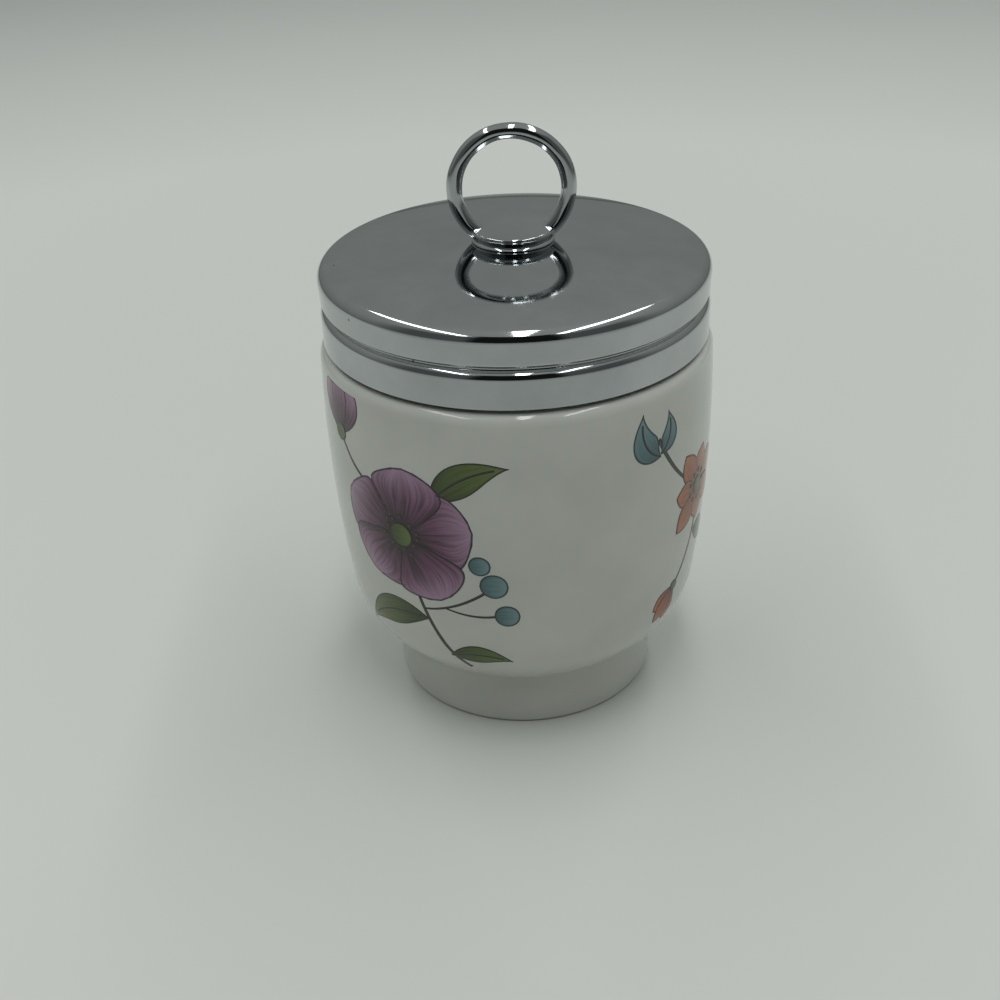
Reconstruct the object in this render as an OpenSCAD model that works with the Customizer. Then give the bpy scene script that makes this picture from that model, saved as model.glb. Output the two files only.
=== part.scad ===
/* [Cup] */
// Radius of the foot ring
foot_r = 21.7; // [19.5:0.05:23]
// Height of the foot ring, up to where the bowl leaves it
foot_h = 9.6; // [8.5:0.1:11]
// Width of the ground face that the cup stands on
foot_land = 2.4; // [1.5:0.1:3.5]
// Rounding of the foot's lower edges
foot_edge = 0.8; // [0.3:0.1:1.2]
// How far the body's largest radius stands out beyond the lid
belly_out = 0.85; // [0.05:0.05:2.5]
// Height of the largest radius
belly_z = 49.5; // [44:0.5:54]
// Radius of the long curve of the side
side_curve_r = 226; // [120:1:400]
// Radius of the bowl's curve above the foot
bowl_curve_r = 14.3; // [12.5:0.1:20]
// Thickness of the porcelain wall
wall = 3.2; // [2.6:0.1:3.8]
// Rounding of the body's shoulder below the lid
body_shoulder_r = 1.9; // [0.8:0.1:2.6]

/* [Neck] */
// Room for the two threads, between the neck and the liner
thread_room = 1.3; // [1.2:0.05:1.8]
// Width of the joint between the lid's edge and the ledge of the body
ledge_gap = 0.5; // [0.3:0.1:1.0]
// Gap between the rim of the neck and the inside of the lid
rim_gap = 0.3; // [0.2:0.05:0.6]

/* [Lid] */
// Radius of the lid at its shoulder
lid_r = 29.9; // [27.5:0.05:33]
// Height of the lid's lower edge
lid_edge_z = 61.5; // [59:0.1:63]
// Height from the lower edge to the widest line of the shoulder
band_h = 9.9; // [9.3:0.1:12]
// Radius of the rounded shoulder
lid_shoulder_r = 1.8; // [1.4:0.05:3]
// Radius of the flatter curve in the middle of the top
crown_curve_r = 315; // [200:5:1200]
// How far from the axis the flatter curve reaches
crown_reach = 12.5; // [9:0.5:16]
// Radius of the stronger curve from there to the shoulder
dome_curve_r = 86.5; // [70:0.5:160]
// Thickness of the pressed sheet
sheet = 0.6; // [0.4:0.05:0.65]
// How far the upper band draws in towards the rolled groove
band_taper = 0.15; // [0:0.05:0.4]
// Height of the lower band, up to the widest line of its own shoulder
lower_band_h = 4.4; // [3.5:0.1:5]
// How far the lower band stands back from the lid's shoulder
lower_band_inset = 0.05; // [0:0.05:0.4]
// Radius of the shoulder of the lower band
lower_shoulder_r = 1.4; // [0.8:0.1:1.8]
// Radius of the upper band's turned-in edge
upper_turn_r = 0.7; // [0.7:0.05:0.9]
// Radius of the rolled groove's bottom
groove_r = 0.35; // [0.2:0.05:0.5]
// Distance between the centres of the two roundings beside the groove
groove_span = 2.6; // [2.2:0.05:2.65]

/* [Threaded liner] */
// Thickness of the liner behind its threads, at the lower band
liner_wall = 1.55; // [1.3:0.05:1.9]
// Height of the liner
liner_h = 9.0; // [7.5:0.1:9.4]
// How far the liner stands back from the lid's lower edge
liner_inset = 0.5; // [0.3:0.1:1]
// Gap between pieces that are pressed or riveted together
fit_gap = 0.04; // [0.02:0.01:0.08]

/* [Ring and rivet] */
// Outer radius of the lifting ring
ring_r = 9.7; // [8.5:0.05:12]
// Radius of the ring's wire
wire_r = 1.2; // [0.9:0.05:1.5]
// How much of the ring's foot is ground away where it stands
ring_flat = 2.0; // [0.6:0.05:2.1]
// Height of the collar under the ring
collar_h = 2.0; // [1.6:0.1:3]
// Radius of the collar at its top
collar_top_r = 6.4; // [5.8:0.1:7.2]
// Radius of the collar where it meets the lid
collar_foot_r = 5.6; // [4.6:0.1:6.2]
// Thickness of the collar below the ring's foot
collar_floor = 0.15; // [0.1:0.05:0.3]
// Radius of the rivet's shank
rivet_r = 2.0; // [1.5:0.1:2.4]
// Radius of the rivet's head
rivet_head_r = 3.4; // [2.8:0.1:4.2]
// Height of the rivet's head
rivet_head_h = 1.1; // [0.8:0.1:1.5]
// Running gap around the shank of the rivet
rivet_gap = 0.05; // [0.03:0.01:0.08]
// Radius of the washer
washer_r = 5.2; // [4.4:0.1:8]
// Thickness of the washer
washer_t = 0.8; // [0.5:0.1:1.2]

/* [Hidden] */
$fn = 72;
porcelain = "whitesmoke";
chrome = "silver";
liner_metal = "gainsboro";
rivet_metal = "darkgray";

// Largest distance between an arc and the chords that stand for it
arc_sag = 0.02;

// Points of a circular arc, from angle a0 to a1 in degrees
function arc(c, r, a0, a1) =
    let (n = max(2, ceil(abs(a1 - a0) / (2 * acos(1 - arc_sag / r)))))
    [for (i = [0:n]) let (a = a0 + (a1 - a0) * i / n) c + r * [cos(a), sin(a)]];

// The same points in the opposite order
function back(p) = [for (i = [len(p) - 1:-1:0]) p[i]];

// Direction of the line from p to q
function heading(p, q) = atan2(q[1] - p[1], q[0] - p[0]);

// Crossing of two circles, the one that lies to the right of the line from p to q
function crossing(p, rp, q, rq) =
    let (d = norm(q - p), u = (q - p) / d,
         along = (rp * rp - rq * rq + d * d) / (2 * d),
         aside = sqrt(rp * rp - along * along))
    p + along * u + aside * [u[1], -u[0]];

// Fits that follow the lid: the liner's bore, the neck inside it and the body below it
liner_bore_r = lid_r - lower_band_inset - sheet - fit_gap - liner_wall;
neck_r = liner_bore_r - thread_room;
belly_r = lid_r + belly_out;

// Centre of the side's long curve, and of the bowl's curve that runs into it
side_c = [belly_r - side_curve_r, belly_z];
foot_top = [foot_r, foot_h];
bowl_c = crossing(foot_top, bowl_curve_r, side_c, side_curve_r - bowl_curve_r);
// Where the side's curve meets the bowl and the shoulder
bowl_a = heading(side_c, bowl_c);
ledge_z = lid_edge_z - ledge_gap;
shoulder_z = ledge_z - body_shoulder_r;
side_top_a = asin((shoulder_z - belly_z) / side_curve_r);
shoulder_c = [side_c[0] + side_curve_r * cos(side_top_a) - body_shoulder_r, shoulder_z];

// Inside of the cup
bowl_floor_z = bowl_c[1] - bowl_curve_r + wall;
mouth_r = neck_r - wall;
inner_side_r = side_c[0] + (side_curve_r - wall);
inner_shoulder_r = inner_side_r - mouth_r;
inner_shoulder_z = ledge_z - wall / 2 - inner_shoulder_r;
inner_side_top_a = asin((inner_shoulder_z - belly_z) / (side_curve_r - wall));
recess_z = bowl_c[1] - bowl_curve_r;
foot_inner_r = foot_r - 2 * foot_edge - foot_land;

// Shoulder of the lid, and its top: a flat crown that runs smoothly into a more curved dome
lid_shoulder_z = lid_edge_z + band_h;
lid_shoulder_c = [lid_r - lid_shoulder_r, lid_shoulder_z];
crown_edge_a = acos(crown_reach / crown_curve_r);
dome_x = (crown_curve_r - dome_curve_r) * cos(crown_edge_a);
dome_c = [dome_x, lid_shoulder_z - sqrt(pow(dome_curve_r - lid_shoulder_r, 2) - pow(lid_shoulder_c[0] - dome_x, 2))];
dome_edge_a = heading(dome_c, lid_shoulder_c);
crown_c = [0, dome_c[1] - (crown_curve_r - dome_curve_r) * sin(crown_edge_a)];

// Height of the top at radius r, moved inwards by t: the crown's curve, and the dome's beyond it
function crown_z(r, t) = crown_c[1] + sqrt(pow(crown_curve_r - t, 2) - r * r);
function dome_z(r, t) = dome_c[1] + sqrt(pow(dome_curve_r - t, 2) - pow(r - dome_x, 2));

// The crown from radius r0 to r1, moved inwards by t
function crown_arc(t, r0, r1) =
    let (r = crown_curve_r - t) arc(crown_c, r, acos(r0 / r), acos(r1 / r));

// The whole top from radius r0 to the shoulder, moved inwards by t
function top_arc(t, r0) =
    let (r = dome_curve_r - t)
    concat(crown_arc(t, r0, crown_reach),
           arc(dome_c, r, acos((crown_reach + fit_gap - dome_x) / r), acos((lid_shoulder_c[0] - dome_x) / r)));

// Rolled groove between the bands: a rounding above it, its own hollow, and a rounding below
lower_c = [lid_r - lower_band_inset - lower_shoulder_r, lid_edge_z + lower_band_h];
upper_c = [lid_r - band_taper - upper_turn_r, lower_c[1] + groove_span];
groove_c = crossing(lower_c, lower_shoulder_r + groove_r, upper_c, upper_turn_r + groove_r);

// Side of the lid from the top's edge down to its lower edge, moved inwards by t
function lid_side(t) = concat(
    arc(lid_shoulder_c, lid_shoulder_r - t, dome_edge_a, 0),
    arc(upper_c, upper_turn_r - t, 0, heading(upper_c, groove_c)),
    arc(groove_c, groove_r + t, heading(groove_c, upper_c), 360 + heading(groove_c, lower_c)),
    arc(lower_c, lower_shoulder_r - t, heading(lower_c, groove_c), 0),
    [[lid_r - lower_band_inset - t, lid_edge_z]]);

// Rim of the neck, full round, just below the inside of the lid
rim_r = wall / 2;
rim_c = [neck_r - rim_r, dome_z(neck_r - rim_r, sheet) - rim_gap - rim_r];

// Steps of the collar's curved flare
flare_steps = 8;

// Seats along the axis
seat_z = crown_z(collar_foot_r, 0) + fit_gap;
collar_top_z = seat_z + collar_h;
ring_foot_z = seat_z + collar_floor;
ring_c_z = ring_foot_z + ring_r - ring_flat;
washer_z = crown_z(washer_r, sheet) - fit_gap - washer_t;
rivet_head_z = washer_z - fit_gap - rivet_head_h;
rivet_top_z = ring_foot_z - rivet_gap;

// Cup and foot, turned as one piece of porcelain with a plain neck
module cup() {
    color(porcelain) rotate_extrude() polygon(concat(
        [[0, recess_z]],
        arc([foot_inner_r - foot_edge, recess_z - foot_edge], foot_edge, 90, 0),
        arc([foot_inner_r + foot_edge, foot_edge], foot_edge, 180, 270),
        arc([foot_r - foot_edge, foot_edge], foot_edge, 270, 360),
        arc(bowl_c, bowl_curve_r, heading(bowl_c, foot_top), bowl_a),
        arc(side_c, side_curve_r, bowl_a, side_top_a),
        arc(shoulder_c, body_shoulder_r, side_top_a, 90),
        [[neck_r, ledge_z]],
        arc(rim_c, rim_r, 0, 180),
        arc([mouth_r, inner_shoulder_z], inner_shoulder_r, 90, inner_side_top_a),
        arc(side_c, side_curve_r - wall, inner_side_top_a, bowl_a),
        arc(bowl_c, bowl_curve_r - wall, bowl_a, -90),
        [[0, bowl_floor_z]]));
}

// Lid pressed from sheet: domed top, rounded shoulder and two bands with a rolled groove
module lid_cap() {
    hole_r = rivet_r + rivet_gap;
    color(chrome) rotate_extrude() polygon(concat(
        top_arc(0, hole_r), lid_side(0), back(lid_side(sheet)), back(top_arc(sheet, hole_r))));
}

// Liner that carries the lid's thread, held by the rolled groove
module thread_liner() {
    low_z = lid_edge_z + liner_inset;
    color(liner_metal) rotate_extrude() intersection() {
        translate([liner_bore_r, low_z]) square([lid_r, liner_h]);
        polygon(concat([[0, lid_edge_z], [0, lid_shoulder_z]], lid_side(sheet + fit_gap)));
    }
}

// The standing ring, whole
module ring_wire(gap) {
    translate([0, 0, ring_c_z]) rotate([90, 0, 0]) rotate_extrude()
        translate([ring_r - wire_r, 0]) circle(wire_r + gap, $fn = 48);
}

// Lifting ring, ground flat where it stands in the collar
module lifting_ring() {
    color(chrome) difference() {
        ring_wire(0);
        translate([-ring_r, -ring_r, seat_z - ring_r]) cube([2 * ring_r, 2 * ring_r, ring_foot_z - seat_z + ring_r]);
    }
}

// Collar that flares from the lid to the ring and closes over the ring's foot
module ring_collar() {
    flare = collar_top_r - collar_foot_r;
    color(chrome) difference() {
        rotate_extrude() polygon(concat(
            crown_arc(-fit_gap, 0, collar_foot_r),
            [for (f = [0:1 / flare_steps:1])
                [collar_foot_r + flare * f * f, seat_z + (collar_h - flare / 2) * f]],
            arc([collar_top_r - flare / 2, collar_top_z - flare / 2], flare / 2, 0, 90),
            [[0, collar_top_z]]));
        intersection() {
            ring_wire(fit_gap);
            translate([-ring_r, -ring_r, ring_foot_z - fit_gap]) cube(2 * ring_r);
        }
        translate([0, 0, seat_z - collar_h]) cylinder(r = rivet_r + rivet_gap, h = collar_h + ring_foot_z - seat_z);
    }
}

// Rivet with its head under the lid
module ring_rivet() {
    color(rivet_metal) {
        translate([0, 0, rivet_head_z]) cylinder(r = rivet_r, h = rivet_top_z - rivet_head_z);
        rotate_extrude() polygon(concat(
            [[0, rivet_head_z], [rivet_head_r - rivet_head_h, rivet_head_z]],
            arc([rivet_head_r - rivet_head_h / 2, rivet_head_z + rivet_head_h / 2], rivet_head_h / 2, -90, 0),
            [[rivet_head_r, rivet_head_z + rivet_head_h], [0, rivet_head_z + rivet_head_h]]));
    }
}

// Washer between the rivet's head and the lid
module rivet_washer() {
    color(rivet_metal) translate([0, 0, washer_z]) difference() {
        cylinder(r = washer_r, h = washer_t);
        translate([0, 0, -1]) cylinder(r = rivet_r + rivet_gap, h = washer_t + 2);
    }
}

cup();
lid_cap();
thread_liner();
ring_collar();
lifting_ring();
ring_rivet();
rivet_washer();
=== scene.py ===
"""Looks of the porcelain egg coddler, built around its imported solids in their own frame."""
import math

import bpy
import numpy as np
from mathutils import Matrix, Vector


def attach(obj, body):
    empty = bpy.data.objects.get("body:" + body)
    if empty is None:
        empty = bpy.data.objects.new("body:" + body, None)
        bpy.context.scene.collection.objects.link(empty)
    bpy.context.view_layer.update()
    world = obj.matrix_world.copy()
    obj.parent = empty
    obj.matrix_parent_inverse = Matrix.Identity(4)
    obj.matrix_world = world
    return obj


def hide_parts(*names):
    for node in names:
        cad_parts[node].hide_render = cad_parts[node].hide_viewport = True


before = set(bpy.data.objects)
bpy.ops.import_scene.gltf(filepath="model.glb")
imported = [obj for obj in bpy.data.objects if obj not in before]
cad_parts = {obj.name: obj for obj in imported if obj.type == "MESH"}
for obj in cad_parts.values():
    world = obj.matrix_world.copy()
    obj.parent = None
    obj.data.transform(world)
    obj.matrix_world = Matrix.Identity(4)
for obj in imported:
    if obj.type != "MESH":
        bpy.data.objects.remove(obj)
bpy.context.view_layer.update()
scene = bpy.context.scene
scene.view_settings.view_transform = "Standard"

MM = 0.001

# ---------------------------------------------------------------- sizes, in millimetres
FOOT_R, FOOT_H, FOOT_LAND, FOOT_EDGE = 21.7, 9.6, 2.4, 0.8
BELLY_Z, SIDE_CURVE_R, BOWL_CURVE_R, WALL = 49.5, 226.0, 14.3, 3.2
BODY_SHOULDER_R, LEDGE_GAP, RIM_GAP = 1.9, 0.5, 0.3
LID_R, LID_EDGE_Z, BAND_H, LID_SHOULDER_R = 29.9, 61.5, 9.9, 1.8
CROWN_CURVE_R, CROWN_REACH, DOME_CURVE_R = 315.0, 12.5, 86.5
SHEET, BAND_TAPER, LOWER_BAND_H, LOWER_BAND_INSET = 0.6, 0.15, 4.4, 0.05
LOWER_SHOULDER_R, UPPER_TURN_R, GROOVE_R, GROOVE_SPAN = 1.4, 0.7, 0.35, 2.6
LINER_WALL, LINER_H, LINER_INSET, FIT_GAP, THREAD_ROOM = 1.55, 9.0, 0.5, 0.04, 1.3
BELLY_OUT = 0.85
RING_R, WIRE_R, RING_FLAT = 9.7, 1.2, 2.0
COLLAR_H, COLLAR_TOP_R, COLLAR_FOOT_R, COLLAR_FLOOR = 2.0, 6.4, 5.6, 0.15
RIVET_R, RIVET_HEAD_R, RIVET_HEAD_H, RIVET_GAP = 2.0, 3.4, 1.1, 0.05
WASHER_R, WASHER_T = 5.2, 0.8
THREAD_PITCH = 5.0

ARC_SAG = 0.0006        # how far an arc's chords stray from it
HOLD = 0.06             # a straight run has a point this far from each end, to keep its shading straight
RUN_STEP = 1.2          # about how far apart the points of a straight run are
SAME_PLACE = 1e-5       # points closer than this are one
TURN_STEPS = 256        # facets around a turned piece
SMALL_TURN_STEPS = 96   # facets around a small or plain one


# ---------------------------------------------------------------- outlines
def arc(c, r, a0, a1, sag=ARC_SAG):
    """Points of a circular arc, from angle a0 to a1 in degrees."""
    n = max(3, math.ceil(abs(a1 - a0) / math.degrees(2 * math.acos(1 - sag / r))))
    turn = np.radians(np.linspace(a0, a1, n + 1))
    return [(c[0] + r * math.cos(a), c[1] + r * math.sin(a)) for a in turn]


def run(p, q):
    """Points of a straight run between p and q, without its ends."""
    p, q = np.array(p, float), np.array(q, float)
    length = np.linalg.norm(q - p)
    if length < 3 * HOLD:
        return []
    between = np.linspace(0, 1, max(2, round(length / RUN_STEP)) + 1)[1:-1]
    inner = [HOLD / length, *between, 1 - HOLD / length]
    return [tuple(p + t * (q - p)) for t in sorted(inner)]


def path(*pieces):
    """Joins arcs and points into one outline, with straight runs between them."""
    out = []
    for piece in pieces:
        points = piece if isinstance(piece, list) else [piece]
        if out:
            out += run(out[-1], points[0])
        for p in points:
            if not out or math.dist(out[-1], p) > SAME_PLACE:
                out.append(tuple(p))
    return out


def heading(p, q):
    """Direction from p to q, in degrees."""
    return math.degrees(math.atan2(q[1] - p[1], q[0] - p[0]))


def crossing(p, rp, q, rq):
    """Crossing of two circles, the one that lies to the right of the line from p to q."""
    p, q = np.array(p, float), np.array(q, float)
    d = np.linalg.norm(q - p)
    u = (q - p) / d
    along = (rp * rp - rq * rq + d * d) / (2 * d)
    aside = math.sqrt(rp * rp - along * along)
    return tuple(p + along * u + aside * np.array([u[1], -u[0]]))


# Fits that follow the lid, as in the solids
liner_bore_r = LID_R - LOWER_BAND_INSET - SHEET - FIT_GAP - LINER_WALL
neck_r = liner_bore_r - THREAD_ROOM
belly_r = LID_R + BELLY_OUT

# Body: the side's long curve, the bowl's curve, the shoulder under the lid
side_c = (belly_r - SIDE_CURVE_R, BELLY_Z)
foot_top = (FOOT_R, FOOT_H)
bowl_c = crossing(foot_top, BOWL_CURVE_R, side_c, SIDE_CURVE_R - BOWL_CURVE_R)
bowl_a = heading(side_c, bowl_c)
ledge_z = LID_EDGE_Z - LEDGE_GAP
shoulder_z = ledge_z - BODY_SHOULDER_R
side_top_a = math.degrees(math.asin((shoulder_z - BELLY_Z) / SIDE_CURVE_R))
shoulder_c = (side_c[0] + SIDE_CURVE_R * math.cos(math.radians(side_top_a)) - BODY_SHOULDER_R, shoulder_z)
bowl_floor_z = bowl_c[1] - BOWL_CURVE_R + WALL
mouth_r = neck_r - WALL
inner_side_r = side_c[0] + SIDE_CURVE_R - WALL
inner_shoulder_r = inner_side_r - mouth_r
inner_shoulder_z = ledge_z - WALL / 2 - inner_shoulder_r
inner_side_top_a = math.degrees(math.asin((inner_shoulder_z - BELLY_Z) / (SIDE_CURVE_R - WALL)))
recess_z = bowl_c[1] - BOWL_CURVE_R
foot_inner_r = FOOT_R - 2 * FOOT_EDGE - FOOT_LAND

# Lid: dome, shoulder, groove
lid_shoulder_z = LID_EDGE_Z + BAND_H
lid_shoulder_c = (LID_R - LID_SHOULDER_R, lid_shoulder_z)
crown_edge_a = math.acos(CROWN_REACH / CROWN_CURVE_R)
dome_x = (CROWN_CURVE_R - DOME_CURVE_R) * math.cos(crown_edge_a)
dome_c = (dome_x, lid_shoulder_z - math.sqrt((DOME_CURVE_R - LID_SHOULDER_R) ** 2
                                             - (lid_shoulder_c[0] - dome_x) ** 2))
dome_edge_a = heading(dome_c, lid_shoulder_c)
crown_c = (0.0, dome_c[1] - (CROWN_CURVE_R - DOME_CURVE_R) * math.sin(crown_edge_a))
lower_c = (LID_R - LOWER_BAND_INSET - LOWER_SHOULDER_R, LID_EDGE_Z + LOWER_BAND_H)
upper_c = (LID_R - BAND_TAPER - UPPER_TURN_R, lower_c[1] + GROOVE_SPAN)
groove_c = crossing(lower_c, LOWER_SHOULDER_R + GROOVE_R, upper_c, UPPER_TURN_R + GROOVE_R)


def crown_z(r, t):
    """Height of the flat crown at radius r, moved inwards by t."""
    return crown_c[1] + math.sqrt((CROWN_CURVE_R - t) ** 2 - r * r)


def dome_z(r, t):
    """Height of the more curved dome around the crown, at radius r, moved inwards by t."""
    return dome_c[1] + math.sqrt((DOME_CURVE_R - t) ** 2 - (r - dome_x) ** 2)


def crown_arc(t, r0, r1):
    """The flat crown from radius r0 to r1, moved inwards by t."""
    r = CROWN_CURVE_R - t
    return arc(crown_c, r, math.degrees(math.acos(r0 / r)), math.degrees(math.acos(r1 / r)))


def top_arc(t, r0):
    """The whole top from radius r0 to the shoulder, moved inwards by t."""
    crown, dome = CROWN_CURVE_R - t, DOME_CURVE_R - t
    edge = math.degrees(crown_edge_a)
    return path(arc(crown_c, crown, math.degrees(math.acos(r0 / crown)), edge),
                arc(dome_c, dome, edge, dome_edge_a))


def lid_side(t):
    """Side of the lid from the top's edge down to its lower edge, moved inwards by t."""
    edge = LID_R - LOWER_BAND_INSET - t
    return path(
        arc(lid_shoulder_c, LID_SHOULDER_R - t, dome_edge_a, 0),
        arc(upper_c, UPPER_TURN_R - t, 0, heading(upper_c, groove_c)),
        arc(groove_c, GROOVE_R + t, heading(groove_c, upper_c), 360 + heading(groove_c, lower_c)),
        arc(lower_c, LOWER_SHOULDER_R - t, heading(lower_c, groove_c), 0),
        (edge, LID_EDGE_Z + SHEET / 2))


rim_r = WALL / 2
rim_c = (neck_r - rim_r, dome_z(neck_r - rim_r, SHEET) - RIM_GAP - rim_r)
seat_z = crown_z(COLLAR_FOOT_R, 0) + FIT_GAP
collar_top_z = seat_z + COLLAR_H
ring_foot_z = seat_z + COLLAR_FLOOR
ring_c_z = ring_foot_z + RING_R - RING_FLAT
washer_z = crown_z(WASHER_R, SHEET) - FIT_GAP - WASHER_T
rivet_head_z = washer_z - FIT_GAP - RIVET_HEAD_H
rivet_top_z = ring_foot_z - RIVET_GAP


# ---------------------------------------------------------------- meshes
def make_piece(name, points, faces, body, materials, slot, replaces=(), crease=32, face_finish=None,
               traits=None):
    """A smooth-shaded piece from points in millimetres, which rides on a body. Edges sharper than crease
    degrees stay crisp, face_finish picks each face's material, and the materials read each point's traits."""
    mesh = bpy.data.meshes.new(name)
    mesh.from_pydata([tuple(MM * float(v) for v in p) for p in points], [], faces)
    mesh.validate()
    for material in materials:
        mesh.materials.append(material)
    if face_finish is not None:
        mesh.polygons.foreach_set("material_index", face_finish)
    for trait, values in (traits or {}).items():
        mesh.attributes.new(trait, "FLOAT", "POINT").data.foreach_set("value", values)
    mesh.shade_smooth()
    mesh.set_sharp_from_angle(angle=math.radians(crease))
    piece = bpy.data.objects.new(name, mesh)
    scene.collection.objects.link(piece)
    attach(piece, body)
    if replaces:
        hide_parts(*replaces)


def turned(outline, closed, steps=TURN_STEPS):
    """Points and faces of an outline (radius, height) turned about the axis."""
    points, faces, rings = [], [], []
    turn = np.linspace(0, 2 * math.pi, steps, endpoint=False)
    for r, z in outline:
        if abs(r) < SAME_PLACE:
            rings.append([len(points)])
            points.append((0, 0, z))
        else:
            rings.append(list(range(len(points), len(points) + steps)))
            points += [(r * math.sin(a), -r * math.cos(a), z) for a in turn]
    pairs = list(zip(rings, rings[1:])) + ([(rings[-1], rings[0])] if closed else [])
    for low, high in pairs:
        for i in range(steps):
            j = (i + 1) % steps
            corners = [low[i % len(low)], low[j % len(low)], high[j % len(high)], high[i % len(high)]]
            corners = list(dict.fromkeys(corners))
            if len(corners) > 2:
                faces.append(corners)
    return points, faces


def add_part(into, points, faces):
    """Adds points and faces to a piece in the making."""
    first = len(into[0])
    into[0].extend(points)
    into[1].extend([[first + i for i in f] for f in faces])


RIDGE_BURY = 0.25       # how far a ridge's root is sunk into its wall
RIDGE_FLANK_STEPS = 6   # facets on each flank
RIDGE_FADE_STEPS = 14   # steps in which each end dies away
RIDGE_BLUNT = 0.8       # below 1, the crest is blunter than a cosine


def thread_ridge(root_r, crest_r, z0, a0, turns, width, steps_per_turn=180):
    """A rounded ridge that climbs the thread's helix and dies away at both ends."""
    profile = []
    for i in range(2 * RIDGE_FLANK_STEPS + 1):
        t = -1 + i / RIDGE_FLANK_STEPS
        rise = math.cos(math.radians(90 * t)) ** RIDGE_BLUNT if abs(t) < 1 else 0.0
        profile.append((rise, t * width / 2))
    m = len(profile)
    n = round(turns * steps_per_turn)
    bury = -RIDGE_BURY if crest_r > root_r else RIDGE_BURY
    points, faces = [], []
    for k in range(n + 1):
        a = 2 * math.pi * k / steps_per_turn
        fade = min(1.0, k / RIDGE_FADE_STEPS, (n - k) / RIDGE_FADE_STEPS)
        fade = fade * fade * (3 - 2 * fade)
        z = z0 + THREAD_PITCH * k / steps_per_turn
        for rise, dz in profile:
            r = root_r + bury + (crest_r - root_r - bury) * rise * fade
            points.append((r * math.sin(a0 + a), -r * math.cos(a0 + a), z + dz))
        if k:
            base = len(points) - 2 * m
            for i in range(m):
                j = (i + 1) % m
                faces.append([base + i, base + m + i, base + m + j, base + j])
    faces.append(list(range(m)))
    faces.append([len(points) - 1 - i for i in range(m)])
    return points, faces


# ---------------------------------------------------------------- materials
def srgb(code):
    """A linear colour from a hex code such as C8CBC6."""
    parts = [int(code[i:i + 2], 16) / 255 for i in (0, 2, 4)]
    return tuple(p / 12.92 if p <= 0.04045 else ((p + 0.055) / 1.055) ** 2.4 for p in parts) + (1.0,)


def join_to(tree, node, links):
    """Brings each link (source node, its output) to the node's socket that it is listed under."""
    for name, (source, output) in links.items():
        tree.links.new(source.outputs[output], node.inputs[name])


def add(tree, kind, settings=(), links=()):
    """Adds a node: settings go to its sockets, ramp or properties, and links to its sockets."""
    made = tree.nodes.new(kind)
    for name, value in dict(settings).items():
        if name == "stops":
            while len(made.color_ramp.elements) < len(value):
                made.color_ramp.elements.new(0.5)
            for element, (place, colour) in zip(made.color_ramp.elements, value):
                element.position, element.color = place, colour
        elif isinstance(name, int) or name in made.inputs:
            made.inputs[name].default_value = value
        else:
            setattr(made, name, value)
    join_to(tree, made, dict(links))
    return made


def finish_of(name, shader):
    """A material with one Principled shader, whose sockets are set from shader, its tree and that shader."""
    material = bpy.data.materials.new(name)
    material.use_nodes = True
    tree = material.node_tree
    tree.nodes.clear()
    surface = add(tree, "ShaderNodeBsdfPrincipled", shader)
    add(tree, "ShaderNodeOutputMaterial", {}, {"Surface": (surface, "BSDF")})
    return material, tree, surface


def per_m(size_mm):
    """A noise scale whose cells are size_mm wide."""
    return 1000.0 / size_mm


def glazed_porcelain():
    # Hard white porcelain under a clear fired glaze: a cold white with a wet gloss. The ground ring that it
    # stands on is bare and dry.
    material, tree, surface = finish_of("glazed_porcelain", {"IOR": 1.5})
    where = add(tree, "ShaderNodeTexCoord")
    cloud = add(tree, "ShaderNodeTexNoise", {"Scale": per_m(14), "Detail": 3.0},
                {"Vector": (where, "Object")})
    white = add(tree, "ShaderNodeValToRGB", {"stops": [(0.35, srgb("C9CCC5")), (0.65, srgb("D1D4CD"))]},
                {"Fac": (cloud, "Fac")})
    place = add(tree, "ShaderNodeSeparateXYZ", {}, {"Vector": (where, "Object")})
    bare = add(tree, "ShaderNodeMapRange",
               {"From Min": 0.0001, "From Max": 0.0003, "To Min": 1.0, "To Max": 0.0},
               {"Value": (place, "Z")})
    colour = add(tree, "ShaderNodeMix", {"data_type": "RGBA", 7: srgb("CFCDC4")},
                 {0: (bare, "Result"), 6: (white, "Color")})
    gloss = add(tree, "ShaderNodeMapRange", {"To Min": 0.07, "To Max": 0.55}, {"Value": (bare, "Result")})
    skin = add(tree, "ShaderNodeTexNoise", {"Scale": per_m(5), "Detail": 1.0}, {"Vector": (where, "Object")})
    bump = add(tree, "ShaderNodeBump", {"Strength": 0.08, "Distance": 0.0002}, {"Height": (skin, "Fac")})
    join_to(tree, surface, {"Base Color": (colour, 2), "Roughness": (gloss, "Result"),
                            "Normal": (bump, "Normal")})
    return material


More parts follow.
